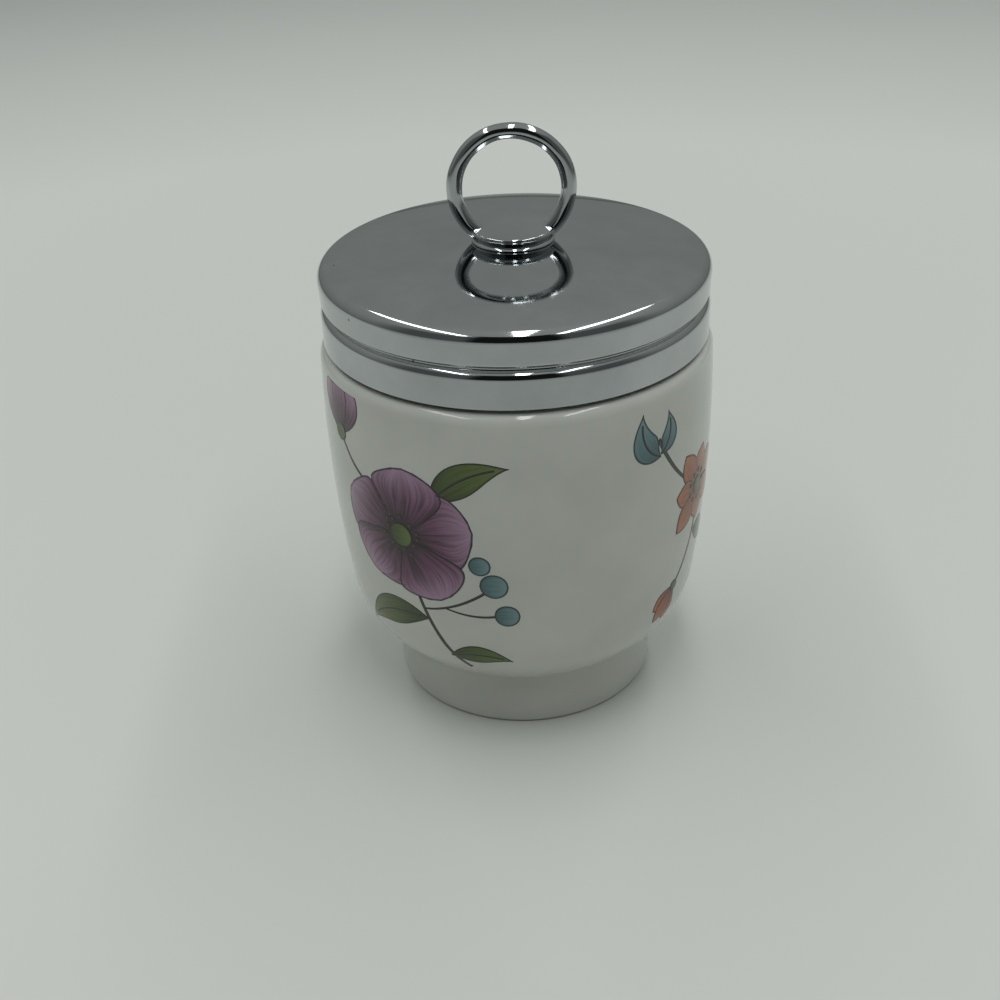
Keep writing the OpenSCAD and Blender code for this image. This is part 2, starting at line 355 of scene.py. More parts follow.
def chrome_plate():
    # Bright chromium over pressed brass: a neutral mirror with hairlines from wiping, faint finger smears and
    # a few dark pits, about 0.4 mm wide. The hairlines are drawn several times wider than real ones, to show.
    material, tree, surface = finish_of("chrome_plate", {"Metallic": 1.0})
    where = add(tree, "ShaderNodeTexCoord")
    smear = add(tree, "ShaderNodeTexNoise", {"Scale": per_m(9), "Detail": 4.0, "Roughness": 0.6},
                {"Vector": (where, "Object")})
    tone = add(tree, "ShaderNodeValToRGB", {"stops": [(0.3, srgb("ACB1B2")), (0.7, srgb("B8BCBD"))]},
               {"Fac": (smear, "Fac")})
    gloss = add(tree, "ShaderNodeMapRange",
                {"From Min": 0.35, "From Max": 0.75, "To Min": 0.045, "To Max": 0.11},
                {"Value": (smear, "Fac")})
    drawn = add(tree, "ShaderNodeMapping", {"Rotation": (0.0, 0.0, 0.6), "Scale": (1.0, 0.03, 1.0)},
                {"Vector": (where, "Object")})
    hairline = add(tree, "ShaderNodeTexNoise", {"Scale": per_m(0.25), "Detail": 2.0},
                   {"Vector": (drawn, "Vector")})
    bump = add(tree, "ShaderNodeBump", {"Strength": 0.02, "Distance": 0.00005},
               {"Height": (hairline, "Fac")})
    cells = add(tree, "ShaderNodeTexVoronoi", {"Scale": per_m(8)}, {"Vector": (where, "Object")})
    pit = add(tree, "ShaderNodeMapRange",
              {"From Min": 0.02, "From Max": 0.035, "To Min": 0.75, "To Max": 0.0},
              {"Value": (cells, "Distance")})
    pitted = add(tree, "ShaderNodeMix", {"data_type": "RGBA", 7: srgb("4C4D4C")},
                 {0: (pit, "Result"), 6: (tone, "Color")})
    join_to(tree, surface, {"Base Color": (pitted, 2), "Roughness": (gloss, "Result"),
                            "Normal": (bump, "Normal")})
    return material


def nickel_flash():
    # The inside of the cap: a thin nickel flash with no polish, slightly warm and cloudy.
    material, tree, surface = finish_of("nickel_flash", {"Metallic": 1.0})
    where = add(tree, "ShaderNodeTexCoord")
    cloud = add(tree, "ShaderNodeTexNoise", {"Scale": per_m(4), "Detail": 5.0}, {"Vector": (where, "Object")})
    tone = add(tree, "ShaderNodeValToRGB", {"stops": [(0.3, srgb("A7A6A0")), (0.7, srgb("BDBBB4"))]},
               {"Fac": (cloud, "Fac")})
    gloss = add(tree, "ShaderNodeMapRange", {"To Min": 0.22, "To Max": 0.42}, {"Value": (cloud, "Fac")})
    join_to(tree, surface, {"Base Color": (tone, "Color"), "Roughness": (gloss, "Result")})
    return material


def turned_aluminium():
    # Satin aluminium with the fine rings that turning leaves, about 0.2 mm apart, drawn twice as coarse to
    # show.
    material, tree, surface = finish_of("turned_aluminium", {"Metallic": 1.0})
    where = add(tree, "ShaderNodeTexCoord")
    drawn = add(tree, "ShaderNodeMapping", {"Scale": (0.04, 0.04, 1.0)}, {"Vector": (where, "Object")})
    rings = add(tree, "ShaderNodeTexNoise", {"Scale": per_m(0.4), "Detail": 3.0},
                {"Vector": (drawn, "Vector")})
    tone = add(tree, "ShaderNodeValToRGB", {"stops": [(0.3, srgb("B4B6B6")), (0.7, srgb("D0D2D2"))]},
               {"Fac": (rings, "Fac")})
    gloss = add(tree, "ShaderNodeMapRange", {"To Min": 0.25, "To Max": 0.45}, {"Value": (rings, "Fac")})
    bump = add(tree, "ShaderNodeBump", {"Strength": 0.15, "Distance": 0.0001}, {"Height": (rings, "Fac")})
    join_to(tree, surface, {"Base Color": (tone, "Color"), "Roughness": (gloss, "Result"),
                            "Normal": (bump, "Normal")})
    return material


def riveted_steel():
    # Bright mild steel, upset cold: grey, half dull, with small dents from the tool.
    material, tree, surface = finish_of("riveted_steel", {"Metallic": 1.0})
    where = add(tree, "ShaderNodeTexCoord")
    dents = add(tree, "ShaderNodeTexNoise", {"Scale": per_m(1.2), "Detail": 4.0},
                {"Vector": (where, "Object")})
    tone = add(tree, "ShaderNodeValToRGB", {"stops": [(0.3, srgb("8F9090")), (0.7, srgb("B0B1B1"))]},
               {"Fac": (dents, "Fac")})
    gloss = add(tree, "ShaderNodeMapRange", {"To Min": 0.25, "To Max": 0.5}, {"Value": (dents, "Fac")})
    bump = add(tree, "ShaderNodeBump", {"Strength": 0.2, "Distance": 0.0002}, {"Height": (dents, "Fac")})
    join_to(tree, surface, {"Base Color": (tone, "Color"), "Roughness": (gloss, "Result"),
                            "Normal": (bump, "Normal")})
    return material


def enamel(name, deep, body, pale, line, hatching):
    # Ceramic colour fired onto the glaze: flat and glossy, with a dark drawn outline and fine strokes that
    # fan out from the root of each petal or leaf. Half a large petal is about 6 mm wide and has 13 strokes,
    # so that they are about 0.5 mm apart.
    material, tree, surface = finish_of(name, {"IOR": 1.5, "Roughness": 0.14})
    along, across, edge, chance = (add(tree, "ShaderNodeAttribute", {"attribute_name": trait})
                                   for trait in ("along", "across", "edge", "chance"))
    tone = add(tree, "ShaderNodeValToRGB", {"stops": [(0.1, deep), (0.5, body), (1.0, pale)]},
               {"Fac": (along, "Fac")})
    fan = add(tree, "ShaderNodeCombineXYZ", {},
              {"X": (across, "Fac"), "Y": (along, "Fac"), "Z": (chance, "Fac")})
    strokes = add(tree, "ShaderNodeMapping", {"Scale": (13.0, 1.3, 1.0)}, {"Vector": (fan, "Vector")})
    hatch = add(tree, "ShaderNodeTexNoise", {"Scale": 1.0, "Detail": 2.0}, {"Vector": (strokes, "Vector")})
    ink = add(tree, "ShaderNodeMapRange", {"From Min": 0.44, "From Max": 0.6}, {"Value": (hatch, "Fac")})
    thinning = add(tree, "ShaderNodeMapRange",
                   {"From Min": 0.2, "From Max": 1.05, "To Min": hatching, "To Max": 0.0},
                   {"Value": (along, "Fac")})
    drawn = add(tree, "ShaderNodeMath", {"operation": "MULTIPLY"},
                {0: (ink, "Result"), 1: (thinning, "Result")})
    shaded = add(tree, "ShaderNodeMix", {"data_type": "RGBA", 7: line},
                 {0: (drawn, "Value"), 6: (tone, "Color")})
    rim = add(tree, "ShaderNodeMapRange",
              {"From Min": 0.14, "From Max": 0.34, "To Min": 1.0, "To Max": 0.0},
              {"Value": (edge, "Fac")})
    colour = add(tree, "ShaderNodeMix", {"data_type": "RGBA", 7: line},
                 {0: (rim, "Result"), 6: (shaded, 2)})
    join_to(tree, surface, {"Base Color": (colour, 2)})
    return material


porcelain = glazed_porcelain()
chrome = chrome_plate()
nickel = nickel_flash()
aluminium = turned_aluminium()
steel = riveted_steel()

# ---------------------------------------------------------------- cup
NECK_CHAMFER = 0.4
THREAD_A0 = 0.6         # where around the cup the neck's ridge starts, in radians
MALE_Z0, MALE_RISE, MALE_TURNS, MALE_WIDTH = 62.6, 0.8, 1.25, 1.7

cup_outline = path(
    (0.0, recess_z),
    arc((foot_inner_r - FOOT_EDGE, recess_z - FOOT_EDGE), FOOT_EDGE, 90, 0),
    arc((foot_inner_r + FOOT_EDGE, FOOT_EDGE), FOOT_EDGE, 180, 270),
    arc((FOOT_R - FOOT_EDGE, FOOT_EDGE), FOOT_EDGE, 270, 360),
    arc(bowl_c, BOWL_CURVE_R, heading(bowl_c, foot_top), bowl_a),
    arc(side_c, SIDE_CURVE_R, bowl_a, side_top_a),
    arc(shoulder_c, BODY_SHOULDER_R, side_top_a, 90),
    (neck_r + NECK_CHAMFER, ledge_z), (neck_r, ledge_z + NECK_CHAMFER),
    arc(rim_c, rim_r, 0, 180),
    arc((mouth_r, inner_shoulder_z), inner_shoulder_r, 90, inner_side_top_a),
    arc(side_c, SIDE_CURVE_R - WALL, inner_side_top_a, bowl_a),
    arc(bowl_c, BOWL_CURVE_R - WALL, bowl_a, -90),
    (0.0, bowl_floor_z))
cup_parts = ([], [])
add_part(cup_parts, *turned(cup_outline, closed=False))
add_part(cup_parts, *thread_ridge(neck_r, neck_r + MALE_RISE, MALE_Z0, THREAD_A0, MALE_TURNS, MALE_WIDTH))
make_piece("cup_porcelain", *cup_parts, "cup", [porcelain], slot="porcelain", replaces=["cup"])

# ---------------------------------------------------------------- printed flowers
PRINT_R = 30.0          # radius at which a millimetre around the print is a millimetre
PRINT_DEPTH = 0.08      # how far the print is sunk into the glaze
PRINT_LIFT = 0.012      # how far it stands out
LAYER_LIFT = 0.006      # how much further each layer does
LEAST_HALF = 0.05       # half of the least width of a stroke
VEIN_W = 0.36

body_path = np.array(path(arc(bowl_c, BOWL_CURVE_R, heading(bowl_c, foot_top), bowl_a),
                          arc(side_c, SIDE_CURVE_R, bowl_a, side_top_a)))
body_steps = np.diff(body_path, axis=0)
body_reach = np.concatenate([[0], np.cumsum(np.hypot(*body_steps.T))])
body_heading = np.arctan2(*np.gradient(body_path, body_reach, axis=0).T)


def on_body(u, v, lift):
    """Point of the body's outside: u mm around from the front, v mm up along it from the foot, and lifted
    off it."""
    r, z = np.interp(v, body_reach, body_path[:, 0]), np.interp(v, body_reach, body_path[:, 1])
    lean = np.interp(v, body_reach, body_heading)
    r, z = r + lift * math.cos(lean), z - lift * math.sin(lean)
    return r * math.sin(u / PRINT_R), -r * math.cos(u / PRINT_R), z


def bend(p0, p1, p2, steps=26):
    """A curve from p0 to p2 that is drawn towards p1, with its direction at each point."""
    t = np.linspace(0, 1, steps)[:, None]
    p0, p1, p2 = (np.array(p, float) for p in (p0, p1, p2))
    along = (1 - t) ** 2 * p0 + 2 * t * (1 - t) * p1 + t * t * p2
    ahead = np.gradient(along, axis=0)
    return along, ahead / np.linalg.norm(ahead, axis=1)[:, None]


def to_outline(points, outline):
    """Distance of each point from a closed outline."""
    start, end = outline, np.roll(outline, -1, axis=0)
    step = end - start
    away = points[:, None, :] - start[None]
    share = np.clip((away * step).sum(2) / np.maximum((step * step).sum(1), 1e-9), 0, 1)
    return np.linalg.norm(away - share[:, :, None] * step, axis=2).min(1)


class Sprig:
    """One printed motif in the making: petals, leaves and stems, each a thin closed shell on the body. Angles
    are in degrees from the right, and a higher layer lies on a lower one."""

    def __init__(self, u, v):
        self.place = np.array((u, v), float)
        self.points, self.faces, self.finish = [], [], []
        self.traits = {"along": [], "across": [], "edge": [], "chance": []}

    def blade(self, ink, layer, p0, p1, p2, width, shape, cells=10, lobes=0.0):
        """A shape of one colour along a curve from p0 to p2. shape gives its share of the width at each share
        of its length, and lobes is how far its end is scalloped."""
        spine, ahead = bend(p0, p1, p2)
        t = np.linspace(0, 1, len(spine))
        half = np.maximum(0.5 * width * shape(t), LEAST_HALF)[:, None]
        side = np.stack([-ahead[:, 1], ahead[:, 0]], axis=1)
        s = np.linspace(-1, 1, cells + 1)
        flat = (self.place + spine)[:, None, :] + (side * half)[:, None, :] * s[None, :, None]
        scallops = (t ** 3 * shape(t))[:, None] * np.cos(3 * np.pi * s)
        flat = flat + lobes * ahead[:, None, :] * scallops[:, :, None]
        rows, columns = flat.shape[:2]
        number = np.arange(rows * columns).reshape(rows, columns)
        rim = np.concatenate([number[:, 0], number[-1, 1:], number[-2::-1, -1], number[0, -2:0:-1]])
        flat = flat.reshape(-1, 2)
        first, count = len(self.points), len(flat)
        chance = 7.3 * len(self.faces) % 31.0       # each blade's own, so that no two are hatched alike
        for lift in (PRINT_LIFT + LAYER_LIFT * layer, -PRINT_DEPTH):
            self.points += [on_body(u, v, lift) for u, v in flat]
            self.traits["along"] += list(np.repeat(t, columns))
            self.traits["across"] += list(np.tile(s, rows))
            self.traits["edge"] += list(to_outline(flat, flat[rim]))
            self.traits["chance"] += [chance] * count
        for i in range(rows - 1):
            for j in range(columns - 1):
                quad = [number[i, j], number[i, j + 1], number[i + 1, j + 1], number[i + 1, j]]
                self.faces.append([int(first + k) for k in quad])
                self.faces.append([int(first + count + k) for k in reversed(quad)])
        for a, b in zip(rim, np.roll(rim, -1)):
            self.faces.append([int(first + k) for k in (a, b, b + count, a + count)])
        self.finish += [ink] * (len(self.faces) - len(self.finish))

    def leaf(self, ink, layer, p0, p1, p2, width, vein_reach=0.85):
        """A leaf with its middle vein, which ends short of the tip."""
        self.blade(ink, layer, p0, p1, p2, width, long_leaf)
        p0, p1, p2 = (np.array(p, float) for p in (p0, p1, p2))
        end = (1 - vein_reach) ** 2 * p0 + 2 * vein_reach * (1 - vein_reach) * p1 + vein_reach ** 2 * p2
        self.blade(STEM, layer + 0.5, p0, p0 + vein_reach * (p1 - p0), end, VEIN_W, even_stem, cells=2)

    def petal(self, ink, layer, root, angle, length, width, curl=0.0, shape=None, lobes=0.0):
        """A petal that grows from its root at an angle, with its middle drawn aside by curl."""
        turn = math.radians(angle)
        ahead = np.array((math.cos(turn), math.sin(turn)))
        side = np.array((-math.sin(turn), math.cos(turn)))
        root = np.array(root, float)
        self.blade(ink, layer, root, root + 0.5 * length * ahead + curl * side, root + length * ahead, width,
                   shape or round_petal, lobes=lobes)

    def berry(self, ink, layer, centre, radius):
        """A round berry, bud base, eye or stamen."""
        self.petal(ink, layer, (centre[0] - radius, centre[1]), 0, 2 * radius, 2 * radius, shape=round_berry)

    def finish_piece(self, name):
        """Makes the whole motif one piece on the cup."""
        make_piece(name, self.points, self.faces, "cup", inks, slot="porcelain", face_finish=self.finish,
                   traits=self.traits, crease=50)


# Each shape's share of its width at the share t of its length
def pointed_petal(t):
    return np.sin(np.pi * t ** 1.25) ** 0.85


def round_petal(t):
    return np.sin(np.pi * t ** 1.35) ** 0.62


def long_leaf(t):
    return np.sin(np.pi * t ** 0.8) ** 1.15


def heart_petal(t):
    return np.sin(np.pi * t ** 1.6) ** 0.5 * (1 + 0.05 * np.cos(9 * t))


def round_berry(t):
    return 2 * np.sqrt(t * (1 - t))


def even_stem(t):
    return 0.7 + 0.3 * t


def spoke(turn, r):
    """Place at the distance r from a flower's middle, in the direction turn, in radians."""
    return r * math.cos(turn), r * math.sin(turn)


PLUM, LEAF, TEAL, ORANGE, STEM = range(5)
inks = [
    enamel("enamel_plum", srgb("34182B"), srgb("744A66"), srgb("B392AE"), srgb("23141E"), 1.0),
    enamel("enamel_leaf", srgb("3C4A22"), srgb("56682F"), srgb("6B7A40"), srgb("232B16"), 0.45),
    enamel("enamel_teal", srgb("4E6B70"), srgb("64848A"), srgb("7E9A9C"), srgb("26383C"), 0.4),
    enamel("enamel_orange", srgb("7E4228"), srgb("A5603C"), srgb("BC7A55"), srgb("48261A"), 0.7),
    enamel("enamel_stem", srgb("3A3F2E"), srgb("4A4F3A"), srgb("565B45"), srgb("2A2C22"), 0.2)]


def left_sprig():
    """A large plum flower with its bud, three berries and three leaves."""
    sprig = Sprig(-19.0, 32.0)
    sprig.blade(STEM, 0, (1.0, -3.0), (1.5, -16.0), (9.5, -24.5), 0.75, even_stem, cells=4)
    sprig.blade(STEM, 0, (2.4, -13.0), (8.0, -12.0), (13.5, -7.5), 0.5, even_stem, cells=4)
    sprig.blade(STEM, 0, (6.5, -11.8), (11.0, -13.0), (14.6, -12.2), 0.45, even_stem, cells=4)
    sprig.leaf(LEAF, 1, (3.3, -14.9), (-6.5, -14.5), (-11.5, -21.5), 5.6)
    sprig.leaf(LEAF, 1, (6.3, -21.8), (12.0, -19.5), (17.0, -21.8), 4.0)
    sprig.leaf(LEAF, 1, (5.5, 7.0), (10.5, 13.5), (17.5, 14.0), 5.2)
    petals = [(14, 11.4, 12.4), (84, 11.0, 12.0), (160, 11.0, 11.6), (230, 10.6, 11.8), (300, 11.2, 12.2)]
    for k, (angle, length, width) in enumerate(petals):
        sprig.petal(PLUM, 2 + k, spoke(math.radians(angle), 0.9), angle, length, width,
                    curl=0.8 * (-1) ** k, shape=heart_petal, lobes=0.5)
    sprig.berry(STEM, 1, (0.0, 0.0), 3.4)
    sprig.berry(LEAF, 8, (0.0, 0.0), 2.1)
    stamens = 13
    for k in range(stamens):
        turn = 2 * math.pi * (k + 0.3 * math.sin(5 * k)) / stamens
        sprig.berry(STEM, 9, spoke(turn, 3.0 + 0.5 * math.sin(3 * k)), 0.42)
    for k, (place, size) in enumerate([((14.6, -6.4), 2.2), ((16.4, -12.0), 2.0), ((12.6, -2.8), 1.7)]):
        sprig.berry(TEAL, 3 + k, place, size)
    for k, (angle, length) in enumerate([(62, 9.5), (118, 9.0), (90, 10.5)]):
        sprig.petal(PLUM, 3 + k, (-12.5, 12.5), angle, length, 4.8)
    sprig.blade(STEM, 2, (-12.6, 13.2), (-10.0, 8.5), (-6.5, 7.0), 0.55, even_stem, cells=4)
    sprig.berry(LEAF, 8, (-12.5, 13.0), 1.5)
    sprig.finish_piece("print_left_sprig")


def right_sprig():
    """An orange flower with seven petals between a bud and a pair of teal leaves."""
    sprig = Sprig(33.0, 33.0)
    sprig.blade(STEM, 0, (-1.0, 1.0), (-7.5, 4.5), (-11.5, 13.0), 0.7, even_stem, cells=4)
    sprig.blade(STEM, 0, (0.5, -1.0), (1.5, -11.0), (-5.0, -17.0), 0.7, even_stem, cells=4)
    sprig.leaf(LEAF, 1, (0.2, -8.5), (5.0, -9.5), (9.0, -15.0), 4.2)
    sprig.leaf(TEAL, 1, (-11.0, 10.0), (-15.5, 12.0), (-14.5, 18.0), 4.6)
    sprig.leaf(TEAL, 2, (-11.0, 10.4), (-8.0, 12.5), (-9.5, 17.0), 3.4)
    petals = 7
    for k in range(petals):
        sprig.petal(ORANGE, 3 + k, (0.0, 0.0), 20 + 360 * k / petals, 7.6 + 0.9 * (-1) ** k, 4.6, curl=0.5,
                    shape=pointed_petal)
    sprig.berry(LEAF, 10, (0.0, 0.0), 1.5)
    stamens = 9
    for k in range(stamens):
        sprig.berry(PLUM, 11, spoke(2 * math.pi * k / stamens, 2.5), 0.4)
    for k, (angle, length) in enumerate([(210, 6.0), (250, 6.4), (230, 7.2)]):
        sprig.petal(ORANGE, 3 + k, (-4.6, -16.4), angle, length, 3.2, shape=pointed_petal)
    sprig.berry(LEAF, 8, (-4.6, -16.6), 1.0)
    sprig.finish_piece("print_right_sprig")


def back_sprig():
    """A teal flower with six petals, an orange bud, three plum berries and three leaves."""
    sprig = Sprig(92.0, 31.0)
    sprig.blade(STEM, 0, (-13.0, -19.0), (-3.0, -13.0), (0.0, -1.0), 0.75, even_stem, cells=4)
    sprig.blade(STEM, 0, (-6.0, -13.8), (5.0, -16.0), (12.5, -10.0), 0.65, even_stem, cells=4)
    sprig.blade(STEM, 0, (1.0, 3.0), (3.0, 10.0), (10.5, 13.5), 0.6, even_stem, cells=4)
    sprig.leaf(LEAF, 1, (-3.2, -9.5), (-12.0, -8.0), (-16.5, -1.5), 5.4)
    sprig.leaf(LEAF, 1, (0.5, -15.0), (5.0, -21.5), (12.5, -21.5), 4.6)
    sprig.leaf(LEAF, 1, (3.0, 7.5), (-1.5, 13.0), (-1.0, 19.0), 4.4)
    for k in range(6):
        sprig.petal(TEAL, 2 + k, (0.0, 0.0), 60 * k + 10, 8.6, 8.4, curl=0.6, lobes=0.3)
    sprig.berry(ORANGE, 9, (0.0, 0.0), 1.8)
    for k, (place, size) in enumerate([((12.8, -9.0), 2.0), ((9.4, -8.2), 1.7), ((14.8, -12.4), 1.6)]):
        sprig.berry(PLUM, 3 + k, place, size)
    for k, (angle, length) in enumerate([(5, 7.5), (50, 7.0), (28, 8.2)]):
        sprig.petal(ORANGE, 3 + k, (10.5, 13.5), angle, length, 3.8, shape=pointed_petal)
    sprig.berry(LEAF, 8, (10.5, 13.5), 1.2)
    sprig.finish_piece("print_back_sprig")


left_sprig()
right_sprig()
back_sprig()

# ---------------------------------------------------------------- lid
HOLE_R = RIVET_R + RIVET_GAP
lid_outside = path(top_arc(0, HOLE_R), lid_side(0))
lid_inside = path(top_arc(SHEET, HOLE_R), lid_side(SHEET))
hem = arc((LID_R - LOWER_BAND_INSET - SHEET / 2, LID_EDGE_Z + SHEET / 2), SHEET / 2, 0, -180)
cap_outline = path(lid_outside, hem, lid_inside[::-1])
cap_points, cap_faces = turned(cap_outline, closed=True)
outer_bands = len(lid_outside) + len(hem) // 2      # rows of faces that are bright; the rest are inside
make_piece("lid_cap_sheet", cap_points, cap_faces, "lid", [chrome, nickel], slot="chrome_plate",
           replaces=["lid_cap"],
           face_finish=[0 if i < outer_bands * TURN_STEPS else 1 for i in range(len(cap_faces))])

LINER_LOW_Z = LID_EDGE_Z + LINER_INSET
LINER_BEVEL = 0.3
FEMALE_RISE, FEMALE_TURNS, FEMALE_WIDTH = 0.95, 1.15, 1.4
FEMALE_START = 0.4      # how many turns after the neck's ridge the liner's one starts
THREAD_SLACK = 0.15     # room between the flanks of the two ridges

liner_side = [p for p in lid_side(SHEET + FIT_GAP) if LINER_LOW_Z < p[1] < LINER_LOW_Z + LINER_H]
liner_outline = path(
    (liner_side[0][0], LINER_LOW_Z + LINER_H), liner_side, (liner_side[-1][0], LINER_LOW_Z),
    (liner_bore_r + LINER_BEVEL, LINER_LOW_Z), (liner_bore_r, LINER_LOW_Z + LINER_BEVEL),
    (liner_bore_r, LINER_LOW_Z + LINER_H - LINER_BEVEL), (liner_bore_r + LINER_BEVEL, LINER_LOW_Z + LINER_H))
liner_parts = ([], [])
add_part(liner_parts, *turned(liner_outline, closed=True))
female_z0 = MALE_Z0 - (MALE_WIDTH + FEMALE_WIDTH) / 2 - THREAD_SLACK + THREAD_PITCH * FEMALE_START
female_a0 = THREAD_A0 + 2 * math.pi * FEMALE_START
add_part(liner_parts, *thread_ridge(liner_bore_r, liner_bore_r - FEMALE_RISE, female_z0, female_a0,
                                    FEMALE_TURNS, FEMALE_WIDTH))
make_piece("thread_liner_turned", *liner_parts, "lid", [aluminium], slot="liner_metal",
           replaces=["thread_liner"])

# ---------------------------------------------------------------- ring and collar
RING_EVEN = 0.02        # the uneven wire is this much thinner, so that its swells keep to the wire's size
# Each swell's share of the wire, how often it comes along the ring and around the wire, and where it starts
RING_SWELLS = ((0.018, 4, 1, 0), (0.014, 7, -2, 1), (0.008, 13, 1, 0))


def ring_points(around=192, about=40):
    """The bent wire, slightly uneven along its length, with the flat that it stands on."""
    points, faces = [], []
    for i in range(around):
        a = 2 * math.pi * i / around
        for k in range(about):
            b = 2 * math.pi * k / about
            uneven = sum((size * math.sin(m * a + n * b + start) for size, m, n, start in RING_SWELLS), 1.0)
            wire = WIRE_R * uneven * (1 - RING_EVEN)
            r = RING_R - WIRE_R + wire * math.cos(b)
            points.append((r * math.sin(a), wire * math.sin(b), max(ring_foot_z, ring_c_z - r * math.cos(a))))
            i2, k2 = (i + 1) % around, (k + 1) % about
            faces.append([i * about + k, i2 * about + k, i2 * about + k2, i * about + k2])
    return points, faces


make_piece("lifting_ring_wire", *ring_points(), "lid", [chrome], slot="chrome_plate",
           replaces=["lifting_ring"], crease=60)

# The collar: a spread foot whose sloping upper face is slightly domed, a short waist, and a rounded rim
# around the ring's seat
SPREAD_R, SPREAD_EDGE, SPREAD_CHAMFER, SPREAD_DOME_R = 6.25, 0.25, 0.1, 1.8
SPREAD_LOW_A, SPREAD_HIGH_A = 38.0, 66.0
COLLAR_RIM_R, COLLAR_RIM_LOW_A = 0.35, -50
AXIS_R = 0.01           # the underside's arc starts this far from the axis
spread_c = (SPREAD_R - SPREAD_DOME_R * math.cos(math.radians(SPREAD_LOW_A)),
            seat_z + SPREAD_EDGE - SPREAD_DOME_R * math.sin(math.radians(SPREAD_LOW_A)))
collar_rim_c = (COLLAR_TOP_R - COLLAR_RIM_R, collar_top_z - COLLAR_RIM_R)
collar_outline = path(
    (0.0, crown_z(0, 0) + FIT_GAP), crown_arc(-FIT_GAP, AXIS_R, COLLAR_FOOT_R),
    (SPREAD_R - SPREAD_CHAMFER, seat_z), (SPREAD_R, seat_z + SPREAD_CHAMFER),
    arc(spread_c, SPREAD_DOME_R, SPREAD_LOW_A, SPREAD_HIGH_A),
    arc(collar_rim_c, COLLAR_RIM_R, COLLAR_RIM_LOW_A, 90),
    (0.0, collar_top_z))
make_piece("ring_collar_flare", *turned(collar_outline, closed=False), "lid", [chrome], slot="chrome_plate",
           replaces=["ring_collar"])

# ---------------------------------------------------------------- rivet and washer
HEAD_DISH = 0.02        # how far the head's end is hollow around its middle
WASHER_BEVEL = 0.15
head_c = (RIVET_HEAD_R - RIVET_HEAD_H / 2, rivet_head_z + RIVET_HEAD_H / 2)
rivet_outline = path(
    (0.0, rivet_head_z), (RIVET_HEAD_R - RIVET_HEAD_H, rivet_head_z + HEAD_DISH),
    arc(head_c, RIVET_HEAD_H / 2, -90, 0), (RIVET_HEAD_R, rivet_head_z + RIVET_HEAD_H),
    (RIVET_R, rivet_head_z + RIVET_HEAD_H), (RIVET_R, rivet_top_z), (0.0, rivet_top_z))
make_piece("ring_rivet_head", *turned(rivet_outline, closed=False, steps=SMALL_TURN_STEPS), "lid_rivet",
           [steel], slot="rivet_metal", replaces=["ring_rivet"])
washer_outline = path(
    (HOLE_R, washer_z), (WASHER_R - WASHER_BEVEL, washer_z), (WASHER_R, washer_z + WASHER_BEVEL),
    (WASHER_R, washer_z + WASHER_T - WASHER_BEVEL), (WASHER_R - WASHER_BEVEL, washer_z + WASHER_T),
    (HOLE_R, washer_z + WASHER_T))
make_piece("rivet_washer_disc", *turned(washer_outline, closed=True, steps=SMALL_TURN_STEPS), "lid_rivet",
           [steel], slot="rivet_metal", replaces=["rivet_washer"])


# ---------------------------------------------------------------- floor and surroundings
def laminate_floor():
    # A matt white laminate board whose colour carries painted light. It is slightly darker close to the cup
    # (painted shade), palest about 0.3 m from the cup, greyer beyond (painted fall-off of the light), and
    # slightly darker in front (painted shadow).
    material, tree, surface = finish_of("laminate_board", {"IOR": 1.45})
    where = add(tree, "ShaderNodeTexCoord")
    far = add(tree, "ShaderNodeVectorMath", {"operation": "LENGTH"}, {0: (where, "Object")})
    reach = add(tree, "ShaderNodeMapRange", {"From Min": 0.0, "From Max": 2.0}, {"Value": (far, "Value")})
    # painted shade near the cup and painted fall-off of the light far from it, graded by distance
    tone = add(tree, "ShaderNodeValToRGB",
               {"stops": [(0.02, srgb("D3D6D1")), (0.045, srgb("D5D8D3")), (0.10, srgb("DBDED9")),
                          (0.155, srgb("E2E5E0")), (0.24, srgb("D5D8D3")), (0.34, srgb("C0C3BF")),
                          (1.0, srgb("7F8280"))]},
               {"Fac": (reach, "Result")})
    axes = add(tree, "ShaderNodeSeparateXYZ", {}, {"Vector": (where, "Object")})
    # painted shadow: the floor turns to a darker tone in front of the cup
    front = add(tree, "ShaderNodeMapRange",
                {"interpolation_type": "SMOOTHSTEP", "From Min": -0.03, "From Max": -0.15},
                {"Value": (axes, "Y")})
    colour = add(tree, "ShaderNodeMix", {"data_type": "RGBA", 7: srgb("CACDC9")},
                 {0: (front, "Result"), 6: (tone, "Color")})
    grain = add(tree, "ShaderNodeTexNoise", {"Scale": per_m(60), "Detail": 2.0},
                {"Vector": (where, "Object")})
    gloss = add(tree, "ShaderNodeMapRange", {"To Min": 0.35, "To Max": 0.45}, {"Value": (grain, "Fac")})
    join_to(tree, surface, {"Base Color": (colour, 2), "Roughness": (gloss, "Result")})
    return material


FLOOR_RINGS = (0, 0.2, 0.6, 2.0, 6.0)       # in metres
floor_points, floor_faces = turned([(r, 0.0) for r in FLOOR_RINGS], closed=False, steps=SMALL_TURN_STEPS)
floor_mesh = bpy.data.meshes.new("floor")
floor_mesh.from_pydata(floor_points, [], floor_faces)
floor_mesh.materials.append(laminate_floor())
floor_object = bpy.data.objects.new("floor", floor_mesh)
scene.collection.objects.link(floor_object)


# Darker parts of the room's front: colour, where each starts and is full on the way to the front (-1 is
# straight in front), and where it starts and is full on the way down (1 is straight up)
FRONT_SHADES = (
    ("585B5A", 0.1, -0.5, 0.80, 0.60),
    ("1A1B1B", -0.86, -0.93, 0.82, 0.76))


